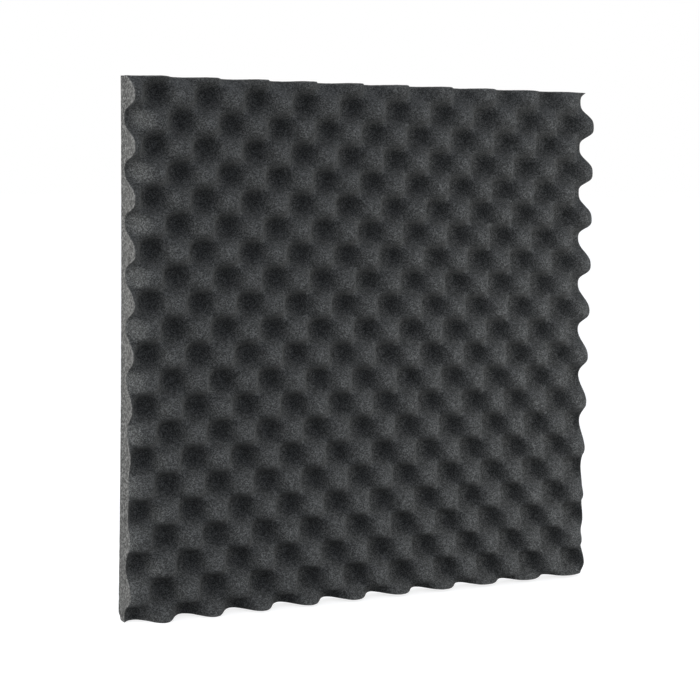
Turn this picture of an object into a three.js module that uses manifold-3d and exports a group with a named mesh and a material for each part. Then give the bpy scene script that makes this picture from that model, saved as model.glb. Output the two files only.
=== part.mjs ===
// Acoustic foam panel: one square tile of convoluted open-cell foam.
//
// Frame: the origin is the centre of the flat back, which is glued to a wall or ceiling.
// The back lies in the plane Y = 0 and the bumps point along -Y. +Z is up, and +X is to
// the right for someone who looks at the bumps. Lengths are in millimetres.
//
// The tile is made as the real one is: a sheet is given rows of bumps and hollows, and a
// square is then cut out of it, a little out of line with the rows.

import * as THREE from 'three';
import { mergeVertices } from 'three/addons/utils/BufferGeometryUtils.js';
import Module from 'manifold-3d';

// Driving dimensions of the tile
const panelWidth = 500;
const panelHeight = 500;
const crestThickness = 32;
const hollowThickness = 7.5;

// Rows of bumps, with the pitch from one crest to the next in the same row or column
const pitchAcross = 50.1;
const pitchUp = 47.8;
const rowTurnDegrees = 1.8;

// The crest nearest the middle of the tile, counted along and across the turned rows
const middleCrestAcross = -8.2;
const middleCrestUp = -13.5;

// Each crest sags by this much and each hollow rises by as much, so that the lower
// side of a bump is the steeper one
const crestSag = 1.8;

// How much broader crests and hollows are than those of a plain cosine wave
const broadShare = 0.43;

// Facets from the middle of a crest to the middle of the next hollow
const facetsPerSlope = 3;

// How far a cut runs past the body that it cuts
const overrun = 5;

const foamMaterial = new THREE.MeshStandardMaterial({
  color: 0x3b3c3d,
  roughness: 0.95,
  metalness: 0,
});

const wasm = await Module();
wasm.setup();

// A closed geometry as a solid that can be cut
function toSolid(geometry) {
  const bare = geometry.clone();
  bare.deleteAttribute('normal');
  bare.deleteAttribute('uv');
  const merged = mergeVertices(bare);
  return new wasm.Manifold(new wasm.Mesh({
    numProp: 3,
    vertProperties: Float32Array.from(merged.attributes.position.array),
    triVerts: Uint32Array.from(merged.index.array),
  }));
}

// A solid's faces as a geometry
function toGeometry(solid) {
  const mesh = solid.getMesh();
  const geometry = new THREE.BufferGeometry();
  geometry.setAttribute('position', new THREE.BufferAttribute(mesh.vertProperties, mesh.numProp));
  geometry.setIndex(new THREE.BufferAttribute(mesh.triVerts, 1));
  geometry.computeVertexNormals();
  return geometry;
}

// Height of the wave at a place in the rows, from -1 in a hollow to 1 on a crest.
// Crests and hollows alternate like the fields of a chessboard.
function waveHeight(across, up) {
  const slopesAcross = 2 * (across - middleCrestAcross) / pitchAcross;
  const slopesUp = 2 * (up - middleCrestUp) / pitchUp;
  const sagInSlopes = 2 * crestSag / pitchUp;
  let wave = Math.cos(Math.PI * slopesAcross) * Math.cos(Math.PI * slopesUp);
  for (let pass = 0; pass < 3; pass++) {
    const shiftedUp = slopesUp + sagInSlopes * wave;
    wave = Math.cos(Math.PI * slopesAcross) * Math.cos(Math.PI * shiftedUp);
  }
  return wave + broadShare * wave * (1 - wave ** 2);
}

// Thickness of the foam, from the back to the bumps
function thicknessAt(across, up) {
  const middle = (crestThickness + hollowThickness) / 2;
  const swing = (crestThickness - hollowThickness) / 2;
  return middle + swing * waveHeight(across, up);
}

// Whole slopes from the middle crest that reach past the tile's corners once it is turned
function slopesToReach(halfDiagonal, middleCrest, pitch) {
  return Math.ceil(2 * (halfDiagonal + Math.abs(middleCrest)) / pitch);
}

// Folds each square of the front along the diagonal that lies closer to the wave, so
// that bumps look alike from both sides
function foldAlongWave(sheet) {
  const places = sheet.attributes.position;
  const corners = sheet.index;
  for (let i = 0; i < corners.count; i += 6) {
    const [a, b, d] = [corners.getX(i), corners.getX(i + 1), corners.getX(i + 2)];
    const c = corners.getX(i + 4);
    const across = (places.getX(a) + places.getX(c)) / 2;
    const up = (places.getZ(a) + places.getZ(c)) / 2;
    const wave = -thicknessAt(across, up);
    const offAlongAC = Math.abs((places.getY(a) + places.getY(c)) / 2 - wave);
    const offAlongBD = Math.abs((places.getY(b) + places.getY(d)) / 2 - wave);
    if (places.getY(a) < 0 && places.getY(c) < 0 && offAlongAC < offAlongBD) {
      [a, b, c, a, c, d].forEach((corner, step) => corners.setX(i + step, corner));
    }
  }
}

// A sheet with bumps on its front, larger than the tile, with its rows along X and Z
function buildSheet() {
  const halfDiagonal = Math.hypot(panelWidth, panelHeight) / 2;
  const slopesAcross = 2 * slopesToReach(halfDiagonal, middleCrestAcross, pitchAcross);
  const slopesUp = 2 * slopesToReach(halfDiagonal, middleCrestUp, pitchUp);
  const sheet = new THREE.BoxGeometry(
    slopesAcross * pitchAcross / 2,
    overrun,
    slopesUp * pitchUp / 2,
    slopesAcross * facetsPerSlope,
    1,
    slopesUp * facetsPerSlope,
  );
  sheet.translate(middleCrestAcross, overrun / 2, middleCrestUp);
  const places = sheet.attributes.position;
  for (let i = 0; i < places.count; i++) {
    const onFront = places.getY(i) < overrun / 2;
    if (onFront) {
      places.setY(i, -thicknessAt(places.getX(i), places.getZ(i)));
    }
  }
  foldAlongWave(sheet);
  return sheet;
}

// The square that is cut out of the sheet, with its back face in the plane Y = 0
function buildCutter() {
  const depth = crestThickness + overrun;
  const cutter = new THREE.BoxGeometry(panelWidth, depth, panelHeight);
  cutter.translate(0, -depth / 2, 0);
  return cutter;
}

function buildFoamPanel() {
  const sheet = buildSheet();
  sheet.rotateY(THREE.MathUtils.degToRad(rowTurnDegrees));
  const tile = toSolid(buildCutter()).intersect(toSolid(sheet));
  const panel = new THREE.Mesh(toGeometry(tile), foamMaterial);
  panel.name = 'foam_panel';
  return panel;
}

const group = new THREE.Group();
group.add(buildFoamPanel());

export default group;
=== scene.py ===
"""Acoustic foam panel, finished: one square tile of charcoal convoluted foam.

Lengths are in metres, in the frame of the CAD: the back lies in the plane Y = 0, the
bumps point along -Y, and +Z is up. Left and right are as seen from the front.
"""

import math

import bmesh
import bpy
from mathutils import Matrix, Vector, noise


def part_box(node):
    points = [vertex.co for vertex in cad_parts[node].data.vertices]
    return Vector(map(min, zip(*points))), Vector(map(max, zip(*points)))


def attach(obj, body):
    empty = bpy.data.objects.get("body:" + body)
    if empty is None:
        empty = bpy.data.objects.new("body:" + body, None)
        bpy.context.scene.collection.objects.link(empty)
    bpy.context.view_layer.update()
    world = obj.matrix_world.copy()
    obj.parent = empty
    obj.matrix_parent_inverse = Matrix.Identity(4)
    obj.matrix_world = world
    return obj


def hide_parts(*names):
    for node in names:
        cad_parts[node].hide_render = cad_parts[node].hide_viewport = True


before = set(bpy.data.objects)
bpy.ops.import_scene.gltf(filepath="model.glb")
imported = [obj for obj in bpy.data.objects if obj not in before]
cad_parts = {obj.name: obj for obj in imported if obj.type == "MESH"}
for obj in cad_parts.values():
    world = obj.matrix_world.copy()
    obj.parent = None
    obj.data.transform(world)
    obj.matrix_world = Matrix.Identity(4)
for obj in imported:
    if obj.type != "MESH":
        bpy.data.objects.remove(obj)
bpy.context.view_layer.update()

tile_low, tile_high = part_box("foam_panel")
MM = 0.001

# The wave, with the same sizes as the solid
CREST_THICKNESS = 32 * MM
HOLLOW_THICKNESS = 7.5 * MM
PITCH_ACROSS = 50.1 * MM
PITCH_UP = 47.8 * MM
ROW_TURN = math.radians(1.8)
MIDDLE_CREST_ACROSS = -8.2 * MM
MIDDLE_CREST_UP = -13.5 * MM

# The crests sag. A sagging wave is found from its own height, in a few rounds
CREST_SAG = 1.8 * MM
SAG_ROUNDS = 3

# The bumps are broader than a plain cosine's by a share. More than the largest share in one
# step would dent the crests, so the rest of it goes into a second step
BROAD_SHARE = 0.43
LARGEST_SHARE = 0.5

# Towards the foot the bumps are broader and hang lower: how much more at the foot than at
# the head. Over the last height above the foot's cut they become plain cosines
FOOT_BROAD = 0.20
FOOT_SAG = 1.8 * MM
FOOT_EASE = 12 * MM

# At the lower right corner they are broader still and a little flatter. Over the last width
# before the right cut, what the corner broadens goes away again
CORNER_BROAD = 0.38
CORNER_FLAT = 0.05
RIGHT_EASE = 30 * MM

# The foam was a little out of line in the rollers. Here and below, a length is how far off
# something lies at half a side from the middle, and a minus turns the direction round.
# Columns of bumps lie off:
COLUMNS_MOVE = -0.6 * MM        # all to the right
COLUMNS_SPREAD = -0.9 * MM      # all outward
COLUMNS_BOW = 1.7 * MM          # the left and right ones to the right
COLUMNS_FAN = 1.3 * MM          # the left ones right at the head, left at the foot

# Rows of bumps lie off:
ROWS_MOVE = 1.65 * MM           # all upward
ROWS_SPREAD = -0.3 * MM         # all outward
ROWS_SKEW = 0.4 * MM            # upward at the right, downward at the left
ROWS_BOW = -2.4 * MM            # the upper and lower ones upward
ROWS_FAN = -1.95 * MM           # outward at the right, inward at the left

# Unevenness of the foam: how far each bump strays from the wave, over which distance, and
# which slice of the noise says so. Then the orange peel, coarse and fine
BUMP_STRAY = 0.5 * MM
BUMP_STRAY_SIZE = 42 * MM
BUMP_STRAY_SLICE = 0.31
PEEL_DEPTH = 0.13 * MM
PEEL_SIZE = 4.5 * MM
FINE_PEEL_SIZE = PEEL_SIZE / 2
FINE_PEEL_SHARE = 0.6
FINE_PEEL_SHIFT = Vector((7, 3, 5))

# The net of the skin: squares along a side of the front and of the back, and how close
# corners are that become one
FRONT_SQUARES = 280
BACK_SQUARES = 70
WELD_DISTANCE = 0.01 * MM

# Rounding of the cut edges, the steps in it and down the cut faces, and how far in from the
# cut faces the back's net begins
EDGE_RADIUS = 0.9 * MM
EDGE_STEPS = 3
WALL_STEPS = 6
BACK_INSET = 3 * EDGE_RADIUS

# The lower left corner at the back is worn round: how far around it, how deep, how steeply
WORN_CORNER = Vector((tile_low.x, tile_high.y, tile_low.z))
WORN_REACH = 7 * MM
WORN_DEPTH = 2.6 * MM
WORN_POWER = 1.5

# The tile isn't cut quite square. The left and the right cut lie off:
SIDES_FLARE = 1.95 * MM         # outward at the foot, inward at the head
SIDES_WAIST = 1.45 * MM         # outward at the foot and at the head
SIDES_DRIFT = -1.85 * MM        # to the right
SIDES_STRETCH = 0.75 * MM       # outward
SIDES_SLANT = -1.3 * MM         # to the right at the head, to the left at the foot

# The head's and the foot's cut lie off:
ENDS_WEDGE = -0.2 * MM          # outward at the right, inward at the left
ENDS_RISE = -0.75 * MM          # upward

# The foot's cut alone lies off by this, too:
FOOT_RISE = 1.0 * MM            # upward
FOOT_TILT = 1.0 * MM            # upward at the right, downward at the left
FOOT_BOW = -1.35 * MM           # upward at both ends

# The foot's cut and the left one lean: from the back to the crests they come down, or in,
# by this much. The foot's cut turns about a line at a share of the thickness
FOOT_LEAN = 1.95 * MM
FOOT_LEAN_AXIS = 0.6
LEFT_LEAN = 1.2 * MM

# What belongs to one cut alone fades away from it by this power
NEAR_CUT_POWER = 8


# ---------------------------------------------------------------- the foam's shape

def wave_height(across, up, broad_share, sag):
    """Height of the wave at a place in the rows, from -1 in a hollow to 1 on a crest."""
    slopes_across = 2 * (across - MIDDLE_CREST_ACROSS) / PITCH_ACROSS
    slopes_up = 2 * (up - MIDDLE_CREST_UP) / PITCH_UP
    sag_in_slopes = 2 * sag / PITCH_UP
    wave = math.cos(math.pi * slopes_across) * math.cos(math.pi * slopes_up)
    for _ in range(SAG_ROUNDS):
        shifted_up = slopes_up + sag_in_slopes * wave
        wave = math.cos(math.pi * slopes_across) * math.cos(math.pi * shifted_up)
    for share in (min(broad_share, LARGEST_SHARE), max(0, broad_share - LARGEST_SHARE)):
        wave += share * wave * (1 - wave ** 2)
    return wave


def place_in_rows(x, z):
    """Where a place of the tile lies in the wave: across the columns, and up the rows."""
    to_right, to_head = x / tile_high.x, z / tile_high.z
    x -= (
        COLUMNS_MOVE + COLUMNS_SPREAD * to_right + COLUMNS_BOW * to_right ** 2
        + COLUMNS_FAN * max(0, -to_right) ** 2 * to_head)
    z -= (
        ROWS_MOVE + ROWS_SPREAD * to_head + ROWS_SKEW * to_right
        + ROWS_BOW * to_head ** 2 + ROWS_FAN * to_right * to_head)
    across = x * math.cos(ROW_TURN) - z * math.sin(ROW_TURN)
    up = x * math.sin(ROW_TURN) + z * math.cos(ROW_TURN)
    return across, up


def thickness_at(x, z):
    """Thickness of the foam at a place of the tile, from the back to the bumps."""
    to_foot = (1 - z / tile_high.z) / 2
    to_corner = to_foot * max(0, x / tile_high.x)
    off_foot_cut = min(1, (z - tile_low.z) / FOOT_EASE)
    off_right_cut = min(1, (tile_high.x - x) / RIGHT_EASE)
    sag = CREST_SAG + FOOT_SAG * to_foot
    broad_share = off_foot_cut * (
        BROAD_SHARE + FOOT_BROAD * to_foot
        + CORNER_BROAD * to_corner * off_right_cut)
    across, up = place_in_rows(x, z)
    middle = (CREST_THICKNESS + HOLLOW_THICKNESS) / 2
    swing = (CREST_THICKNESS - HOLLOW_THICKNESS) / 2 * (1 - CORNER_FLAT * to_corner)
    stray = noise.noise(Vector((across, up, BUMP_STRAY_SLICE)) / BUMP_STRAY_SIZE)
    height = wave_height(across, up, broad_share, sag)
    return middle + swing * height + BUMP_STRAY * stray


def add_grid(net, squares, half_width, half_height, turn):
    """Adds a flat net of squares, turned about X to stand up. Gives back its corners."""
    stretch = Matrix.Diagonal((half_width, half_height, 1, 1))
    made = bmesh.ops.create_grid(
        net,
        x_segments=squares,
        y_segments=squares,
        size=1,
        matrix=Matrix.Rotation(turn, 4, "X") @ stretch,
    )
    return made["verts"]


def start_front(net, half_width, half_height):
    """The front: a fine net, raised to the wave."""
    for corner in add_grid(net, FRONT_SQUARES, half_width, half_height, math.pi / 2):
        corner.co.y = -thickness_at(corner.co.x, corner.co.z)


def grow_rim(net, rim, grow_x, grow_z, depth_at):
    """Extrudes the open rim by one step, and puts its corners at their new depth."""
    grown = bmesh.ops.extrude_edge_only(net, edges=rim)["geom"]
    for corner in grown:
        if isinstance(corner, bmesh.types.BMVert):
            corner.co.x *= grow_x
            corner.co.z *= grow_z
            corner.co.y = depth_at(corner.co.x, corner.co.z)
    return [edge for edge in grown if isinstance(edge, bmesh.types.BMEdge)]


def rim_steps():
    """The steps from the front's rim to the back's: inset from the cut face, and depth."""
    steps = []
    for step in range(1, EDGE_STEPS + 1):
        turn = step / EDGE_STEPS * math.pi / 2
        inset = EDGE_RADIUS * (1 - math.sin(turn))
        fall = EDGE_RADIUS * (1 - math.cos(turn))
        steps.append((inset, lambda x, z, fall=fall: fall - thickness_at(x, z)))
    for step in range(1, WALL_STEPS + 1):
        share = step / WALL_STEPS
        steps.append((0, lambda x, z, share=share: (
            (EDGE_RADIUS - thickness_at(x, z)) * (1 - share) - EDGE_RADIUS * share)))
    for step in range(1, EDGE_STEPS + 1):
        turn = step / EDGE_STEPS * math.pi / 2
        inset = EDGE_RADIUS * (1 - math.cos(turn))
        depth = EDGE_RADIUS * (math.sin(turn) - 1)
        steps.append((inset, lambda x, z, depth=depth: depth))
    steps.append((BACK_INSET, lambda x, z: 0))
    return steps


def close_back(net, half_width, half_height):
    """The flat back: a coarser net whose rim has as many corners as the front's."""
    corners = set(add_grid(net, BACK_SQUARES, half_width, half_height, -math.pi / 2))
    rim = [edge for edge in net.edges if edge.is_boundary and edge.verts[0] in corners]
    bmesh.ops.subdivide_edges(net, edges=rim, cuts=FRONT_SQUARES // BACK_SQUARES - 1)
    bmesh.ops.remove_doubles(net, verts=net.verts, dist=WELD_DISTANCE)


def pull_out_of_square(net):
    """Moves the foam by a millimetre or two in its own plane, as the real tile was cut."""
    for corner in net.verts:
        right, up = corner.co.x / tile_high.x, corner.co.z / tile_high.z
        near_foot = max(0, -up) ** NEAR_CUT_POWER
        near_left = max(0, -right) ** NEAR_CUT_POWER
        raised = -corner.co.y / CREST_THICKNESS
        corner.co.x += (
            -SIDES_FLARE * right * up
            + SIDES_WAIST * right * up ** 2
            + SIDES_DRIFT * right ** 2
            + SIDES_STRETCH * right ** 3
            + SIDES_SLANT * right ** 2 * up
            + LEFT_LEAN * near_left * raised)
        corner.co.z += (
            ENDS_WEDGE * right * up
            + ENDS_RISE * up ** 2
            + near_foot * (FOOT_RISE + FOOT_TILT * right + FOOT_BOW * right ** 2)
            - near_foot * FOOT_LEAN * (raised - FOOT_LEAN_AXIS))


def wear_corner(net):
    """Presses the worn corner in."""
    inward = Vector((1, -1, 1)).normalized()
    for corner in net.verts:
        distance = (corner.co - WORN_CORNER).length
        if distance < WORN_REACH:
            share = (1 - distance / WORN_REACH) ** WORN_POWER
            corner.co += inward * WORN_DEPTH * share


def roughen(net):
    """Orange peel, as open-cell foam has after slitting."""
    net.normal_update()
    moves = []
    for corner in net.verts:
        coarse = noise.noise(corner.co / PEEL_SIZE)
        fine = noise.noise(corner.co / FINE_PEEL_SIZE + FINE_PEEL_SHIFT)
        moves.append(corner.normal * PEEL_DEPTH * (coarse + FINE_PEEL_SHARE * fine))
    for corner, move in zip(net.verts, moves):
        corner.co += move


def settle_order(net):
    """Orders edges and faces by their corners, as extruding leaves them in any order."""
    net.verts.index_update()

    def lowest_and_highest(part):
        places = [corner.index for corner in part.verts]
        return min(places) * len(net.verts) + max(places)

    net.edges.sort(key=lowest_and_highest)
    net.faces.sort(key=lowest_and_highest)


def put_in_scene(name, data):
    """An object of the scene, for a mesh, a lamp or a camera."""
    made = bpy.data.objects.new(name, data)
    bpy.context.scene.collection.objects.link(made)
    return made


def put_net_in_scene(name, net):
    """An object of the scene, for a net that is finished."""
    mesh = bpy.data.meshes.new(name)
    net.to_mesh(mesh)
    net.free()
    return put_in_scene(name, mesh)


def build_foam_tile():
    """The tile as one closed skin: the front, then the cut faces, then the back."""
    half_width, half_height = tile_high.x, tile_high.z
    width, height = half_width - EDGE_RADIUS, half_height - EDGE_RADIUS
    net = bmesh.new()
    start_front(net, width, height)
    front_corners = len(net.verts)
    rim = [edge for edge in net.edges if edge.is_boundary]
    for inset, depth_at in rim_steps():
        grow_x, grow_z = (half_width - inset) / width, (half_height - inset) / height
        rim = grow_rim(net, rim, grow_x, grow_z, depth_at)
        width, height = half_width - inset, half_height - inset

    # Marks for the finish: the cut faces with the back, and the rounding at the front,
    # which gets a painted sheen
    net.verts.index_update()
    rim_corners = 4 * FRONT_SQUARES
    cut = net.verts.layers.float.new("cut_face")
    sheen_lip = net.verts.layers.float.new("painted_sheen_lip")
    for corner in net.verts:
        past_front = corner.index - front_corners
        corner[cut] = 0 if past_front < 0 else 1
        corner[sheen_lip] = 1 if 0 <= past_front < EDGE_STEPS * rim_corners else 0
    close_back(net, width, height)
    for corner in net.verts:
        if corner.co.y > -EDGE_RADIUS / 2:
            corner[cut] = 1

    settle_order(net)
    wear_corner(net)
    pull_out_of_square(net)
    roughen(net)
    for face in net.faces:
        face.smooth = True
    return put_net_in_scene("foam_tile", net)


# ---------------------------------------------------------------- finishes

class Amount:
    """A number that varies over a surface. Sums and products of it add Math nodes."""

    def __init__(self, finish, socket):
        self.finish = finish
        self.socket = socket

    def _math(self, operation, first, second):
        return self.finish.node(
            "ShaderNodeMath", {"operation": operation}, {0: first, 1: second})

    def __add__(self, other):
        return self._math("ADD", self, other)

    def __radd__(self, other):
        return self._math("ADD", other, self)

    def __sub__(self, other):
        return self._math("SUBTRACT", self, other)

    def __rsub__(self, other):
        return self._math("SUBTRACT", other, self)

    def __mul__(self, other):
        return self._math("MULTIPLY", self, other)

    def __rmul__(self, other):
        return self._math("MULTIPLY", other, self)


class Finish:
    """The nodes of one material or of the world."""

    def __init__(self, owner):
        owner.use_nodes = True
        self.tree = owner.node_tree
        self.tree.nodes.clear()

    def node(self, kind, settings, inputs, output=0):
        """Adds a node: its settings first, then its sockets. Gives back its outputs."""
        node = self.tree.nodes.new(kind)
        for name, value in settings.items():
            setattr(node, name, value)
        for name, value in inputs.items():
            if isinstance(value, Amount):
                self.tree.links.new(value.socket, node.inputs[name])
            else:
                node.inputs[name].default_value = value
        if isinstance(output, tuple):
            return [Amount(self, node.outputs[name]) for name in output]
        return Amount(self, node.outputs[output]) if node.outputs else None

    def mark(self, name):
        """A mark that the mesh carries, from 0 to 1."""
        return self.node("ShaderNodeAttribute", {"attribute_name": name}, {}, "Fac")

    def clouds(self, place, size, detail):
        """Soft noise from 0 to 1, with spots of about that size."""
        return self.node(
            "ShaderNodeTexNoise", {},
            {"Vector": place, "Scale": 1 / size, "Detail": detail}, "Fac")

    def blend(self, share, first, second):
        """A colour between two colours."""
        return self.node(
            "ShaderNodeMix", {"data_type": "RGBA"}, {0: share, 6: first, 7: second}, 2)

    def tint(self, colour, amount):
        """A colour made lighter or darker by an amount."""
        return self.node(
            "ShaderNodeVectorMath", {"operation": "SCALE"}, {0: colour, "Scale": amount})

    def ramp(self, amount, low, high):
        """Runs softly from 0 to 1 as the amount goes from low to high."""
        return self.node(
            "ShaderNodeMapRange",
            {"interpolation_type": "SMOOTHSTEP"},
            {"Value": amount, "From Min": low, "From Max": high})


# Cells of the foam: their sizes, and where a cell's wall begins and ends, in cell sizes
FRONT_PORE = 1.0 * MM
CUT_PORE = 1.7 * MM
WALL_START = 0.15
WALL_END = 0.75

# Their tone: how much lighter a cell gets that catches the light, how much the average one
# does, and how much lighter the walls are than the cells' hearts, whose darkness is painted
# shade in the pores
GLINT = 1.5
AVERAGE_GLINT = 0.33
PORE_SHADE_TONE = 0.5

# How much the cells lighten or darken the front and the cut faces
FRONT_GRAIN = 0.9
CUT_GRAIN = 0.85

# Blotches and clouds lighten or darken the foam, too, about a middle tone. The rounding at
# the front is lighter: a painted sheen along the lip
BLOTCH_SIZE = 5 * MM
BLOTCH_DETAIL = 2
BLOTCH_TONE = 0.25
CLOUD_SIZE = 90 * MM
CLOUD_DETAIL = 1
CLOUD_TONE = 0.12
MIDDLE_TONE = 0.5
LIP_PAINTED_SHEEN = 0.25

FRONT_COLOUR = (0.0637, 0.0653, 0.0638, 1)
# The cut faces and the back are paler than the front: partly the cut foam's own paler tone,
# partly painted light standing in for the light on the left cut face
CUT_COLOUR = (0.0926, 0.0918, 0.0872, 1)
PORE_DEPTH = 0.5 * MM
PORE_STRENGTH = 0.5
ROUGHNESS = 0.95
SHINE = 0.1


def foam_cells(foam, place, pore_size):
    """Open cells: a few catch the light, most are dim. Gives their tone and their walls."""
    distance, colour = foam.node(
        "ShaderNodeTexVoronoi",
        {"feature": "F1"},
        {"Vector": place, "Scale": 1 / pore_size, "Randomness": 1},
        ("Distance", "Color"))
    chance = foam.node("ShaderNodeSeparateColor", {}, {0: colour})
    wall = foam.ramp(distance, WALL_START, WALL_END)
    tone = (
        GLINT * (chance * chance - AVERAGE_GLINT)
        # walls lighter, pore hearts darker: painted shade in the pores
        + PORE_SHADE_TONE * (wall - MIDDLE_TONE))
    return tone, wall


def foam_finish():
    """Matt open-cell foam: small pores, each cell a little lighter or darker."""
    material = bpy.data.materials.new("charcoal_foam")
    foam = Finish(material)
    place = foam.node("ShaderNodeTexCoord", {}, {}, "Object")
    cut, sheen_lip = foam.mark("cut_face"), foam.mark("painted_sheen_lip")
    front_tone, front_wall = foam_cells(foam, place, FRONT_PORE)
    cut_tone, cut_wall = foam_cells(foam, place, CUT_PORE)
    tone = (
        1.0
        + FRONT_GRAIN * front_tone * (1 - cut)
        + CUT_GRAIN * cut_tone * cut
        + BLOTCH_TONE * (foam.clouds(place, BLOTCH_SIZE, BLOTCH_DETAIL) - MIDDLE_TONE)
        + CLOUD_TONE * (foam.clouds(place, CLOUD_SIZE, CLOUD_DETAIL) - MIDDLE_TONE)
        # painted sheen along the rounding at the front
        + LIP_PAINTED_SHEEN * sheen_lip)
    wall = front_wall * (1 - cut) + cut_wall * cut
    bump = foam.node(
        "ShaderNodeBump", {},
        {"Strength": PORE_STRENGTH, "Distance": PORE_DEPTH, "Height": wall})
    colour = foam.blend(cut, FRONT_COLOUR, CUT_COLOUR)
    shader = foam.node(
        "ShaderNodeBsdfPrincipled", {},
        {"Base Color": foam.tint(colour, tone), "Roughness": ROUGHNESS,
         "Specular IOR Level": SHINE, "Normal": bump})
    foam.node("ShaderNodeOutputMaterial", {}, {"Surface": shader})
    return material


# ---------------------------------------------------------------- floor, light, camera

# The floor glows for the camera only, so that it looks white and still shows the shadow.
# Its reach is in metres
FLOOR_REACH = 30
FLOOR_COLOUR = (0.4, 0.4, 0.4, 1)
FLOOR_GLOW = 0.78

# The camera sees white air. The light that the air gives is the ambient
WHITE = (1, 1, 1, 1)
AMBIENT = (0.562, 0.593, 0.664, 1)

# The lens and the film's width are in millimetres
CAMERA_PLACE = (-0.8784, -1.6243, 0.1630)
CAMERA_YAW = math.radians(28.023)
CAMERA_PITCH = math.radians(-5.311)
CAMERA_ROLL = math.radians(0.745)
CAMERA_LENS = 97.14
CAMERA_FILM = 36


def straight_rays(finish):
    """1 where the camera sees a surface, also in a reflection or through glass."""
    camera_ray, glossy_ray, clear_ray = finish.node(
        "ShaderNodeLightPath", {}, {},
        ("Is Camera Ray", "Is Glossy Ray", "Is Transmission Ray"))
    return camera_ray + glossy_ray + clear_ray


def build_floor(level):
    """A wide, plain floor that the tile stands on."""
    net = bmesh.new()
    bmesh.ops.create_grid(net, x_segments=1, y_segments=1, size=FLOOR_REACH)
    floor = put_net_in_scene("floor", net)
    floor.location.z = level
    material = bpy.data.materials.new("pale_floor")
    paint = Finish(material)
    seen = straight_rays(paint)
    matt = paint.node("ShaderNodeBsdfDiffuse", {}, {"Color": FLOOR_COLOUR})
    glow = paint.node("ShaderNodeEmission", {}, {"Strength": seen * FLOOR_GLOW})
    both = paint.node("ShaderNodeAddShader", {}, {0: matt, 1: glow})
    paint.node("ShaderNodeOutputMaterial", {}, {"Surface": both})
    floor.data.materials.append(material)


def light_world():
    """White for the camera, and a plain ambient light for the tile."""
    world = bpy.data.worlds.new("studio")
    bpy.context.scene.world = world
    air = Finish(world)
    seen = straight_rays(air)
    white = air.node("ShaderNodeBackground", {}, {"Color": WHITE})
    ambient = air.node("ShaderNodeBackground", {}, {"Color": AMBIENT})
    both = air.node("ShaderNodeMixShader", {}, {0: seen, 1: ambient, 2: white})
    air.node("ShaderNodeOutputWorld", {}, {"Surface": both})


def add_lamp(name, place, width, height, watts):
    """A soft box: a lit rectangle that faces the middle of the tile."""
    lamp = bpy.data.lights.new(name, "AREA")
    lamp.shape = "RECTANGLE"
    lamp.size = width
    lamp.size_y = height
    lamp.energy = watts
    stand = put_in_scene(name, lamp)
    stand.location = place
    stand.rotation_mode = "QUATERNION"
    stand.rotation_quaternion = (-Vector(place)).to_track_quat("-Z", "Y")
    stand.visible_camera = False


def place_camera():
    """The photograph's view, from the left and a little above the middle."""
    level = Matrix.Rotation(math.pi / 2, 4, "X")
    yaw = Matrix.Rotation(-CAMERA_YAW, 4, "Z")
    pitch = Matrix.Rotation(CAMERA_PITCH, 4, "X")
    roll = Matrix.Rotation(CAMERA_ROLL, 4, "Z")
    camera = bpy.data.cameras.new("camera")
    camera.lens = CAMERA_LENS
    camera.sensor_width = CAMERA_FILM
    stand = put_in_scene("camera", camera)
    stand.matrix_world = (
        Matrix.Translation(CAMERA_PLACE) @ yaw @ level @ pitch @ roll)
    bpy.context.scene.camera = stand


place_camera()
foam_tile = build_foam_tile()
foam_tile.data.materials.append(foam_finish())
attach(foam_tile, "root")
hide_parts("foam_panel")

build_floor(min(corner.co.z for corner in foam_tile.data.vertices))
light_world()
add_lamp("key_softbox", (0.52, -0.56, -0.08), width=0.4, height=0.34, watts=2.6)
add_lamp("high_softbox", (0.58, -0.66, 0.42), width=0.5, height=0.7, watts=1.55)
add_lamp("left_softbox", (-1.20, 0.10, 0.12), width=1.0, height=0.9, watts=13)
add_lamp("far_softbox", (-2.69, -1.24, 2.69), width=1.6, height=1.6, watts=21)

bpy.context.scene.view_settings.view_transform = "Standard"
